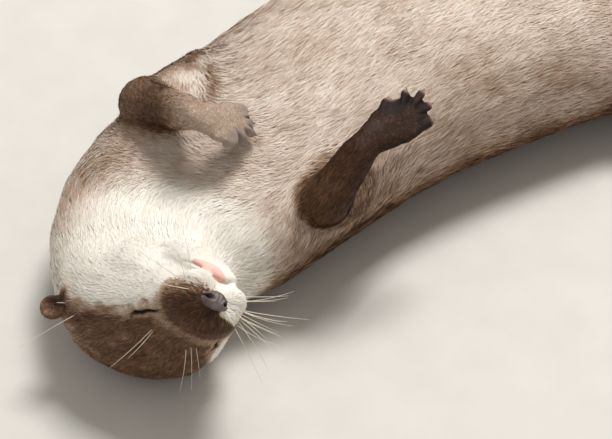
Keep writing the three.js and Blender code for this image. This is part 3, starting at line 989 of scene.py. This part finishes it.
head_back = from_head([[-88, 0, -4]])[0]
LIE_PATHS = [
    [nose_at, head_back],
    [head_back] + path_of("chest", "belly", "hips", "tail_base", "tail_middle", "tail_tip"),
]
for side in SIDES:
    for lengths in (("upper_arm_", "forearm_", "forepaw_"), ("thigh_", "shank_", "hind_foot_")):
        path = path_of(*[length + side for length in lengths])
        LIE_PATHS.append(path + [2 * path[-1] - path[-2]])


def lie_of(points, normals):
    """Unit directions of the fur: along the nearest lengths of the body, in the skin's plane."""
    total = np.zeros_like(points)
    for number, path in enumerate(LIE_PATHS):
        for a, b in zip(path[:-1], path[1:]):
            away = beside(points, a, b)[1] / MM
            reach = 1.0 if number < 2 else 0.45
            total += unit(b - a) * (reach / (away + 4) ** 4)[:, None]
    direction = unit(total)
    from_nose = points - nose_at
    near_nose = np.clip(1 - size_of(from_nose) / (30 * MM), 0, 1)[:, None]
    direction = unit(direction + 2 * near_nose * unit(from_nose))
    swirl = 0.20 * waves(points, 16)
    direction += swirl[:, None] * np.cross(normals, direction)
    return unit(direction - normals * (direction * normals).sum(1, keepdims=True))


print("paths that the fur follows:", len(LIE_PATHS))

# %% Scatter roots over the skin
rng = np.random.default_rng(7)
skin_corners = mesh_arrays(skin_mesh)[1].astype(int)
corner_points = points[skin_corners]
middles = corner_points.mean(1)
first, second, third = corner_points.transpose(1, 0, 2)
areas = size_of(np.cross(second - first, third - first)) / 2 / MM ** 2
coat_at = np.maximum(sampled(coat, middles) / MM, 0.3)
LEAF_LENGTH, LEAF_WIDTH = (0.2, 3.3), (0.18, 0.03)
leaf_length = LEAF_LENGTH[0] + LEAF_LENGTH[1] * coat_at
place_at = sampled(region, middles)
PIECE_ENDS = [-235, -150, -65, 10]
along_trunk = np.searchsorted(PIECE_ENDS, middles[:, 0] / MM)
on_trunk = place_at == TRUNK
COAT_PIECES = {
    "coat_face": ((place_at == HEAD) & (on_face(middles) > 0), 3.9, 13),
    "coat_head": ((place_at == HEAD) & (on_face(middles) == 0), 4.5, 15),
    "coat_neck": (on_trunk & (along_trunk == 0), 3.4, 14),
    "coat_chest": (on_trunk & (along_trunk == 1), 2.6, 14),
    "coat_ribs": (on_trunk & (along_trunk == 2), 2.3, 14),
    "coat_belly": (on_trunk & (along_trunk == 3), 2.2, 14),
    "coat_hips": (on_trunk & (along_trunk == 4), 1.7, 14),
    "coat_arms": (place_at == ARMS, 2.5, 8),
    "coat_legs": (place_at == LEGS, 1.05, 11),
    "coat_tail": (place_at == TAIL, 1.45, 14),
}
MOST_TUFTS = 66000


def scatter(chosen, thickness):
    """Random places on chosen triangles: triangle numbers and weights of their corners."""
    wanted = np.where(chosen, thickness * (10 / np.maximum(leaf_length, 2.2)) ** 0.75 * areas, 0)
    wanted *= min(1, MOST_TUFTS / wanted.sum())
    steps = np.floor(np.cumsum(wanted) + rng.random()).astype(int)
    triangles = np.repeat(np.arange(len(wanted)), np.diff(steps, prepend=0))
    r = np.sqrt(rng.random(len(triangles)))
    s = rng.random(len(triangles))
    return triangles, np.stack([1 - r, r * (1 - s), r * s], 1)


print("skin to cover:", round(areas.sum() / 100), "square cm")

# %% [markdown]
# Neighbouring hairs of real fur cling together in small locks. So each tuft's tip is drawn towards
# the middle of its lock, and all tufts of a lock share a tone. Locks are the cells of a jittered
# lattice, which needs no search.

# %% Gather tufts into locks
SHUFFLE = [[12.9898, 39.346, 73.156], [78.233, 11.135, 52.235], [37.719, 83.155, 9.151]]


def cell_noise(cells):
    """Three repeatable numbers from 0 to 1 for each cell of a lattice."""
    mixed = np.sin(cells @ SHUFFLE + 0.5) * 43758.5453
    return mixed - np.floor(mixed)


def locks_of(places, size):
    """The middle of each place's lock, and a number from 0 to 1 that belongs to it."""
    base = np.floor(places / size)
    best = np.full(len(places), np.inf)
    middle, tone = places.copy(), np.zeros(len(places))
    for shift in np.ndindex(3, 3, 3):
        cells = base + np.array(shift) - 1
        noise = cell_noise(cells)
        centre = (cells + noise) * size
        away = ((centre - places) ** 2).sum(1)
        closer = away < best
        best[closer] = away[closer]
        middle[closer] = centre[closer]
        tone[closer] = noise[closer, 0]
    return middle, tone


print("first lock's tone:", locks_of(middles[:1], MM)[1].round(2))

# %% Unwrap the skin under one piece of coat
def unwrap(triangles):
    """Places in 0 to 1 for each corner of some skin triangles, from an unwrap of their shape."""
    used, corners = np.unique(skin_corners[triangles], return_inverse=True)
    flat = bpy.data.meshes.new("unwrap")
    flat.from_pydata(points[used].tolist(), [], corners.reshape(-1, 3).tolist())
    holder = add_object("unwrap", flat)
    bpy.context.view_layer.objects.active = holder
    holder.select_set(True)
    bpy.ops.object.mode_set(mode="EDIT")
    bpy.ops.mesh.select_all(action="SELECT")
    bpy.ops.uv.smart_project(angle_limit=math.radians(66), island_margin=0.003)
    bpy.ops.object.mode_set(mode="OBJECT")
    places = read(flat.uv_layers.active.data, "uv", 2)
    bpy.data.objects.remove(holder)
    bpy.data.meshes.remove(flat)
    return places.reshape(-1, 3, 2).astype(float)


# %% Root the tufts and shape their leaves
LIFT_TIP = math.radians(4)
SWAY, ROLL = 0.16, 0.35
LOCK_SIZE, LOCK_PULL = 0.32, 0.30
ROOT_SINKS = 0.15 * MM * np.array([1, 1, 0, 0, 0])[None, :, None]


def over_skin(points, height):
    """Points brought to a height over the skin, so that a tuft follows the curve of the body."""
    found = [skin_tree.find_nearest(point)[:2] for point in points.tolist()]
    places, facing = np.array([[place[:], normal[:]] for place, normal in found]).transpose(1, 0, 2)
    return places + facing * height


def rooted(chosen, thickness):
    """Tufts on chosen triangles: where each grows, what is up and along, and how long it is."""
    triangles, weights = scatter(chosen, thickness)
    mixed = weights[:, :, None]
    roots = (corner_points[triangles] * mixed).sum(1)
    up = unit((normals[skin_corners[triangles]] * mixed).sum(1))
    length = leaf_length[triangles] * MM * rng.uniform(0.75, 1.2, len(roots)) * shortness_of(roots)
    on_lid, from_slit = by_slit_of(roots)
    length *= np.interp(from_slit, [1, 7], [0.4, 1])
    lie = lie_of(roots, up)
    for share in (0.5, 1.0):
        on_lid = np.maximum(on_lid, by_slit_of(roots + lie * share * length[:, None])[0])
    thin = np.maximum.reduce([bareness_of(roots, up), pinkness_of(roots, 0.6), on_lid,
                              0.6 * ear_hollow_shade_of(roots)])
    kept = rng.random(len(roots)) > 1.3 * thin
    return [values[kept] for values in (triangles, mixed, roots, up, lie, length)]


def leaves(roots, up, lie, length, lift_root):
    """Points, facings, middles and tones of leaves that sway, lift, drop and roll by chance."""
    count = len(roots)
    width = (LEAF_WIDTH[0] * MM + LEAF_WIDTH[1] * length) * rng.uniform(0.8, 1.2, count)
    lie = unit(lie + rng.normal(0, SWAY, count)[:, None] * np.cross(up, lie))
    side = np.cross(up, lie)
    lift = math.radians(lift_root) * rng.uniform(0.6, 1.35, count)[:, None]
    drop = LIFT_TIP * rng.uniform(-0.6, 2.2, count)[:, None]
    roll = rng.normal(0, ROLL, count)[:, None]
    across = np.cos(roll) * side + np.sin(roll) * up
    half_way = length[:, None] / 2
    middle = over_skin(roots + half_way * lie, half_way * np.sin(lift))
    tip = over_skin(roots + 2 * half_way * lie, half_way * (np.sin(lift) + np.sin(drop)))
    lock, tone = locks_of(roots, LOCK_SIZE * length.mean())
    pull = lock - roots
    pull -= up * (pull * up).sum(1, keepdims=True)
    tip += LOCK_PULL * pull
    middle += LOCK_PULL * 0.4 * pull
    half = across * (width / 2)[:, None]
    waist = 0.85 * half
    leaf = np.stack([roots - half, roots + half, middle + waist, middle - waist, tip], 1)
    leaf = (leaf - up[:, None] * ROOT_SINKS).reshape(-1, 3)
    leaf[:, 2] = np.maximum(leaf[:, 2], FLOOR_CLEARANCE)
    return leaf, unit(up + 0.5 * unit(np.cross(lie, across))), middle, tone


# %% Grow the coat, piece by piece
LEAF_FACES = np.array([[0, 2, 1], [0, 3, 2], [3, 4, 2]])
UV_PATCH = 0.003
LEAF_UV = np.array([[-0.5, -0.5], [0.5, -0.5], [0.45, 0], [-0.45, 0], [0, 0.5]]) * UV_PATCH
ALONG_LEAF = np.array([0, 0, 0.5, 0.5, 1])
CONTRAST = [0.1, 0.3, 0.6, 1], [1.1, 1.5, 1.0, 0.8]
LOCK_CONTRAST, TUFT_CONTRAST, TIP_CONTRAST = 0.13, 0.04, 0.15


def grow_coat(name, chosen, thickness, lift_root):
    """One piece of coat as a mesh with facings, places for the bake and paleness."""
    triangles, mixed, roots, up, lie, length = rooted(chosen, thickness)
    leaf, facing, middle, tone = leaves(roots, up, lie, length, lift_root)
    faces = (np.arange(len(roots))[:, None, None] * 5 + LEAF_FACES).reshape(-1, 3)
    mesh = bpy.data.meshes.new(name)
    mesh.from_pydata(leaf, [], faces)
    mesh.shade_smooth()
    mesh.normals_split_custom_set_from_vertices(unit(np.repeat(facing, 5, 0)).tolist())
    row = np.cumsum(chosen) - 1
    root_places = (unwrap(np.nonzero(chosen)[0])[row[triangles]] * mixed).sum(1)
    leaf_places = np.clip(root_places[:, None] + LEAF_UV, 0.001, 0.999).reshape(-1, 2)
    layer = mesh.uv_layers.new(name="OFBake")
    layer.data.foreach_set("uv", leaf_places[faces.ravel()].astype(np.float32).ravel())
    pale = paleness_of(middle, up)
    contrast = np.interp(pale, *CONTRAST)
    pale += contrast * (LOCK_CONTRAST * (tone - 0.5) + rng.normal(0, TUFT_CONTRAST, len(roots)))
    # Pale tips and dark roots: partly the hair's own colour, partly painted sheen on the tips and
    # painted shade at the roots.
    pale = pale[:, None] + TIP_CONTRAST * contrast[:, None] * (ALONG_LEAF - 0.47)
    set_number(mesh, "pale", np.clip(pale, 0, 1).ravel())
    print(name, len(roots), "tufts of", round(length.mean() / MM, 1), "mm")
    return add_object(name, mesh)


coats = {name: grow_coat(name, *plan) for name, plan in COAT_PIECES.items()}
print("coat grown after", round(time.time() - started, 1), "s")

# %% [markdown]
# ## Whiskers
# Whiskers are stiff pale hairs, thick at the root and fine at the tip, in rows on both lips, with a
# few over each eye and on the cheeks. Each is a tapered tube of five sides along a bent line.

# %% Set the whiskers
WHISKER_ROOT, WHISKER_TIP = 0.20, 0.05
WHISKER_SIDES, WHISKER_STEPS = 5, 12
WHISKER_SEAT, WHISKER_CLEARANCE = 0.8 * MM, 0.6 * MM


def whisker(root, direction, length, droop):
    """A tapered tube in mm from a root in the head's frame: droop bends it away."""
    start = np.array(skin_tree.find_nearest(Vector(from_head([root])[0]))[0])
    ahead = unit(np.asarray(direction, float)) @ head_axes
    bend = np.asarray(droop, float) @ head_axes
    t = np.linspace(0, 1, WHISKER_STEPS)[:, None]
    line = start + (ahead * t + bend * t * t) * length * MM - ahead * WHISKER_SEAT
    line[:, 2] = np.maximum(line[:, 2], WHISKER_CLEARANCE)
    tangent = unit(np.gradient(line, axis=0))
    side = unit(np.cross(tangent, tangent[0] + [0.1, 0.2, 0.3]))
    other = np.cross(tangent, side)
    radius = (WHISKER_ROOT + (WHISKER_TIP - WHISKER_ROOT) * t) * MM
    ring = [line + radius * (math.cos(a) * side + math.sin(a) * other)
            for a in np.arange(WHISKER_SIDES) * 2 * math.pi / WHISKER_SIDES]
    tube = np.stack(ring, 1).reshape(-1, 3)
    rings = np.arange(len(tube)).reshape(WHISKER_STEPS, WHISKER_SIDES)
    turned = np.roll(rings, -1, axis=1)
    around = np.stack([rings[:-1], turned[:-1], turned[1:], rings[1:]], 2).reshape(-1, 4)
    return tube, around.tolist() + [rings[0, ::-1].tolist(), rings[-1].tolist()]


# Each row starts so far ahead and so high, in mm, with so many whiskers on the right side.
ROWS = [(-5.5, -1.5, 6), (-7.5, -4.5, 6), (-9, -8.0, 4)]
LEFT_ROWS = [1, 2, 1]
whisker_parts = []
for side in (1, -1):
    for row, (front, height, number) in enumerate(ROWS):
        for k in range(LEFT_ROWS[row] if side > 0 else number):
            root = [front - 3.2 * k, side * (11.5 + 0.9 * k), height + 0.3 * k]
            out = [0.55 - 0.22 * k, side * (1.0 - 0.25 * row * (side > 0)), 0.25 - 0.35 * row]
            out = np.array(out) + rng.normal(0, 0.10, 3)
            droop = np.array([-0.25, 0, -0.10]) + rng.normal(0, 0.06, 3)
            whisker_parts.append(whisker(root, out, rng.uniform(17, 30) + 2 * k, droop))
# Root, direction, length in mm and droop of the whiskers on brows and cheek.
BROW_WHISKERS = [
    ([-28.0, 10.6, 14.9], [-0.45, 0.25, 1.0], 27, [-0.1, 0, -0.1]),
    ([-28.8, 9.6, 15.0], [-0.05, 0.25, 1.0], 18, [-0.2, 0, -0.1]),
    ([-28.9, -7.5, 15.9], [0.1, -0.35, 1.0], 20, [-0.25, 0, 0]),
    ([-26.3, -8.1, 14.7], [0.3, -0.35, 1.0], 20, [-0.1, 0, 0]),
    ([-26.0, -10.3, 14.2], [0.5, -0.4, 1.0], 16, [-0.1, 0, 0]),
    ([-63.9, 29.3, 15.4], [-0.75, 0.45, 0.75], 28, [-0.1, 0, 0.1]),
    ([-70.0, 33.0, 12.0], [-0.9, 0.6, 0.2], 12, [0, 0, 0]),
]
whisker_parts += [whisker(*plan) for plan in BROW_WHISKERS]
whiskers = join_meshes("whiskers", whisker_parts)
print("whiskers:", len(whisker_parts))

# %% [markdown]
# ## Materials
# One helper turns a hex colour to linear light, and one adds a node with its settings and links.
# Patterns come as small functions, each of which gives a (node, output) pair ready to link.

# %% Helpers for materials
def linear(hex_colour, alpha=1.0):
    """An sRGB hex colour as linear values."""
    values = [int(hex_colour[i:i + 2], 16) / 255 for i in (0, 2, 4)]
    return [v / 12.92 if v <= 0.04045 else ((v + 0.055) / 1.055) ** 2.4 for v in values] + [alpha]


def plug(node, key, value):
    """Sets an input of a node, or links it where the value is a (node, output) pair."""
    if isinstance(value, tuple):
        node.id_data.links.new(value[0].outputs[value[1]], node.inputs[key])
    else:
        node.inputs[key].default_value = value


def add_node(material, kind, settings=None, inputs=None):
    """Adds a shader node with its settings and inputs."""
    made = material.node_tree.nodes.new("ShaderNode" + kind)
    for key, value in (settings or {}).items():
        setattr(made, key, value)
    for key, value in (inputs or {}).items():
        plug(made, key, value)
    return made


def new_material(name, **shader):
    """A material with only its shader and output, ready for more nodes."""
    material = bpy.data.materials.new(name)
    material.use_nodes = True
    material.node_tree.nodes.clear()
    surface = add_node(material, "BsdfPrincipled", inputs={
        key.replace("_", " ").title().replace("Ior", "IOR"): value
        for key, value in shader.items()})
    add_node(material, "OutputMaterial", inputs={"Surface": (surface, "BSDF")})
    return material, surface


def stored(material, name):
    """The number of that name that is stored on each point of a mesh."""
    return add_node(material, "Attribute", {"attribute_name": name}), "Fac"


def shades(material, amount, stops):
    """Colours for an amount, from (place, hex) pairs."""
    ramp = add_node(material, "ValToRGB", inputs={"Fac": amount})
    elements = ramp.color_ramp.elements
    while len(elements) < len(stops):
        elements.new(0.5)
    for element, (place, colour) in zip(elements, stops):
        element.position = place
        element.color = linear(colour)
    return ramp, "Color"


def blotches(material, scale, detail=2.0):
    """Soft blotches, so many to the metre."""
    place = add_node(material, "TexCoord")
    noise = add_node(material, "TexNoise", inputs={
        "Vector": (place, "Object"), "Scale": scale, "Detail": detail})
    return noise, "Fac"


def cells(material, feature, size):
    """Small cells of about that size in metres."""
    place = add_node(material, "TexCoord")
    pattern = add_node(material, "TexVoronoi", {"feature": feature}, {
        "Vector": (place, "Object"), "Scale": 1 / size})
    return pattern, "Distance"


def giving_way(material, layer, colour, other):
    """A colour that gives way to another where a stored number is high."""
    mix = add_node(material, "Mix", {"data_type": "RGBA"}, {
        "Factor": stored(material, layer), 6: colour, 7: other})
    return mix, 2


def emboss(material, surface, height, strength, distance, **settings):
    """Presses a pattern into the surface as fine relief."""
    relief = add_node(material, "Bump", settings, {
        "Height": height, "Strength": strength, "Distance": distance})
    plug(surface, "Normal", (relief, "Normal"))


print("linear grey of 808080:", round(linear("808080")[0], 3))

# %% [markdown]
# Otter fur is keratin: fine underfur below glossy guard hairs with pale tips and dark roots. The
# pale tips also carry painted sheen and the dark roots painted shade, which gives the eye streaks
# of light along each lock, and deeper colour between them.

# %% Otter fur
FUR_STOPS = [(0.0, "301f14"), (0.15, "573b28"), (0.3, "7a593f"), (0.5, "aa8d74"), (0.72, "dac8b8"),
             (0.9, "ebe2d4"), (1.0, "f8f3ea")]
otter_fur, surface = new_material("otter_fur", roughness=0.55, specular_ior_level=0.22)
plug(surface, "Base Color", shades(otter_fur, stored(otter_fur, "pale"), FUR_STOPS))
for piece in coats.values():
    piece.data.materials.append(otter_fur)
print("pieces in otter fur:", len(coats))

# %% [markdown]
# Under the coat the skin is a shade darker than the fur. Palms and finger tips are bare and dark
# grey, the lower lip is pink, and fine wrinkles about 0.9 mm apart make the bare skin look dry.

# %% Otter skin
UNDERFUR_STOPS = [(0.0, "281a10"), (0.15, "4a3120"), (0.3, "6a4c34"), (0.5, "977a62"),
                  (0.72, "c9b5a2"), (0.9, "e0d5c5"), (1.0, "eee7dc")]
BARE_STOPS = [(0.0, "201511"), (0.14, "38271f"), (0.3, "6a5850"), (0.5, "8d7f78"), (1.0, "b7a79c")]
otter_skin, surface = new_material("otter_skin", roughness=0.65, specular_ior_level=0.15)
pale = stored(otter_skin, "pale")
mottled = add_node(otter_skin, "MapRange", inputs={
    "Value": blotches(otter_skin, 180.0, 4.0), "From Min": 0.3, "From Max": 0.7,
    "To Min": -0.12, "To Max": 0.12})
bare_tone = add_node(otter_skin, "Math", {"operation": "ADD", "use_clamp": True}, {
    0: pale, 1: (mottled, "Result")})
colour = shades(otter_skin, pale, UNDERFUR_STOPS)
# The dark layer paints shade near black into the eye slits, the mouth line, the finger gaps and the
# ear hollows.
for layer, other in (("bare", shades(otter_skin, (bare_tone, "Value"), BARE_STOPS)),
                     ("pink", linear("f8c4b6")), ("dark", linear("120c0a"))):
    colour = giving_way(otter_skin, layer, colour, other)
plug(surface, "Base Color", colour)
emboss(otter_skin, surface, cells(otter_skin, "DISTANCE_TO_EDGE", 0.0009), 0.35, 0.0004)
skin_mesh.materials.clear()
skin_mesh.materials.append(otter_skin)
print("nodes in otter skin:", len(otter_skin.node_tree.nodes))

# %% [markdown]
# The nose pad is keratin skin, pebbled at about 0.7 mm and slightly moist, so it has small soft
# highlights. Claws are clear brown horn. Whiskers are pale horn. The eye is wet.

# %% Nose leather, horn and the wet eye
LEATHER_STOPS = [(0.3, "51423f"), (0.7, "80706d")]
nose_leather, surface = new_material("nose_leather", roughness=0.42, specular_ior_level=0.5)
leather = shades(nose_leather, blotches(nose_leather, 300.0, 3.0), LEATHER_STOPS)
# Painted shade: deep in the nostrils the leather gives way to near black.
plug(surface, "Base Color", giving_way(nose_leather, "dark", leather, linear("0c0807")))
emboss(nose_leather, surface, cells(nose_leather, "F1", 0.0007), 0.5, 0.0003, invert=True)
nose_pad.data.materials.append(nose_leather)


def streaked(name, dark, light, scale, **shader):
    """A material whose colour wavers between two shades."""
    material, surface = new_material(name, **shader)
    stops = [(0.3, dark), (0.7, light)]
    plug(surface, "Base Color", shades(material, blotches(material, scale), stops))
    return material


claws.data.materials.append(streaked("claw_horn", "5a473c", "8b7461", 500.0, roughness=0.35))
whiskers.data.materials.append(streaked("whisker_horn", "d8cbb4", "f4ecdc", 120.0, roughness=0.3))
wet_eye = streaked("wet_eye", "120c0a", "2a1c14", 200.0, roughness=0.08, coat_weight=1.0)
for eyeball in eyeballs.values():
    eyeball.data.materials.append(wet_eye)
print("materials so far:", len(bpy.data.materials))

# %% [markdown]
# ## Floor and light
# The floor is pale, matt and plain. One broad lamp high behind the otter gives the direction of
# the light, and the world fills in softly.

# %% Floor, lamp and world
FLOOR_SIZE = 6.0
floor_mesh = bpy.data.meshes.new("floor")
with reshaping(floor_mesh) as work:
    bmesh.ops.create_grid(work, x_segments=8, y_segments=8, size=FLOOR_SIZE / 2)
floor = add_object("floor", floor_mesh)
floor_mesh.materials.append(streaked("matt_paper", "cfcbc4", "d4d0c9", 40.0, roughness=0.9))

LAMP_POWER, LAMP_SIZE, LAMP_DISTANCE = 24.5, 0.5, 1.6
lamp_data = bpy.data.lights.new("sun_lamp", "AREA")
lamp_data.energy = LAMP_POWER
lamp_data.size = LAMP_SIZE
lamp = add_object("sun_lamp", lamp_data)
to_lamp = unit(view_up * 0.55 + view_right * 0.25 + np.array([0, 0, 0.75]))
lamp.location = Vector(nose_at + to_lamp * LAMP_DISTANCE)
lamp.rotation_euler = Vector(to_lamp).to_track_quat("Z", "Y").to_euler()
world = bpy.data.worlds.new("studio")
bpy.context.scene.world = world
world.use_nodes = True
world.node_tree.nodes["Background"].inputs["Color"].default_value = linear("f4f1ec")
world.node_tree.nodes["Background"].inputs["Strength"].default_value = 0.55
bpy.context.scene.view_settings.view_transform = "Standard"
print("lamp height in mm:", round(lamp.location.z / MM))

# %% [markdown]
# ## Join the pieces to the solid model
# Each piece rides on the one body of the model, and the solids that the pieces stand in for are
# hidden. A table lists the finish of the record for each piece.

# %% Ride and replace
FLESH = sorted(set(frame["nodes"]) - {"nose", "eye_left", "eye_right"})
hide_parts(*FLESH)
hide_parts("nose")
for side, eyeball in eyeballs.items():
    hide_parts("eye_" + side)
FINISHES = {skin: "paw_skin", nose_pad: "nose_leather", claws: "paw_skin", whiskers: "fur_cream"}
FINISHES.update({eyeball: "eye" for eyeball in eyeballs.values()})
COAT_FINISH = {"coat_face": "fur_brown", "coat_head": "fur_brown", "coat_neck": "fur_cream",
               "coat_arms": "fur_limb", "coat_legs": "fur_limb", "coat_tail": "fur_limb"}
FINISHES.update({piece: COAT_FINISH.get(name, "fur_tan") for name, piece in coats.items()})
for piece, finish in FINISHES.items():
    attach(piece, "root")
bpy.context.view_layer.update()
print("all done after", round(time.time() - started, 1), "s")
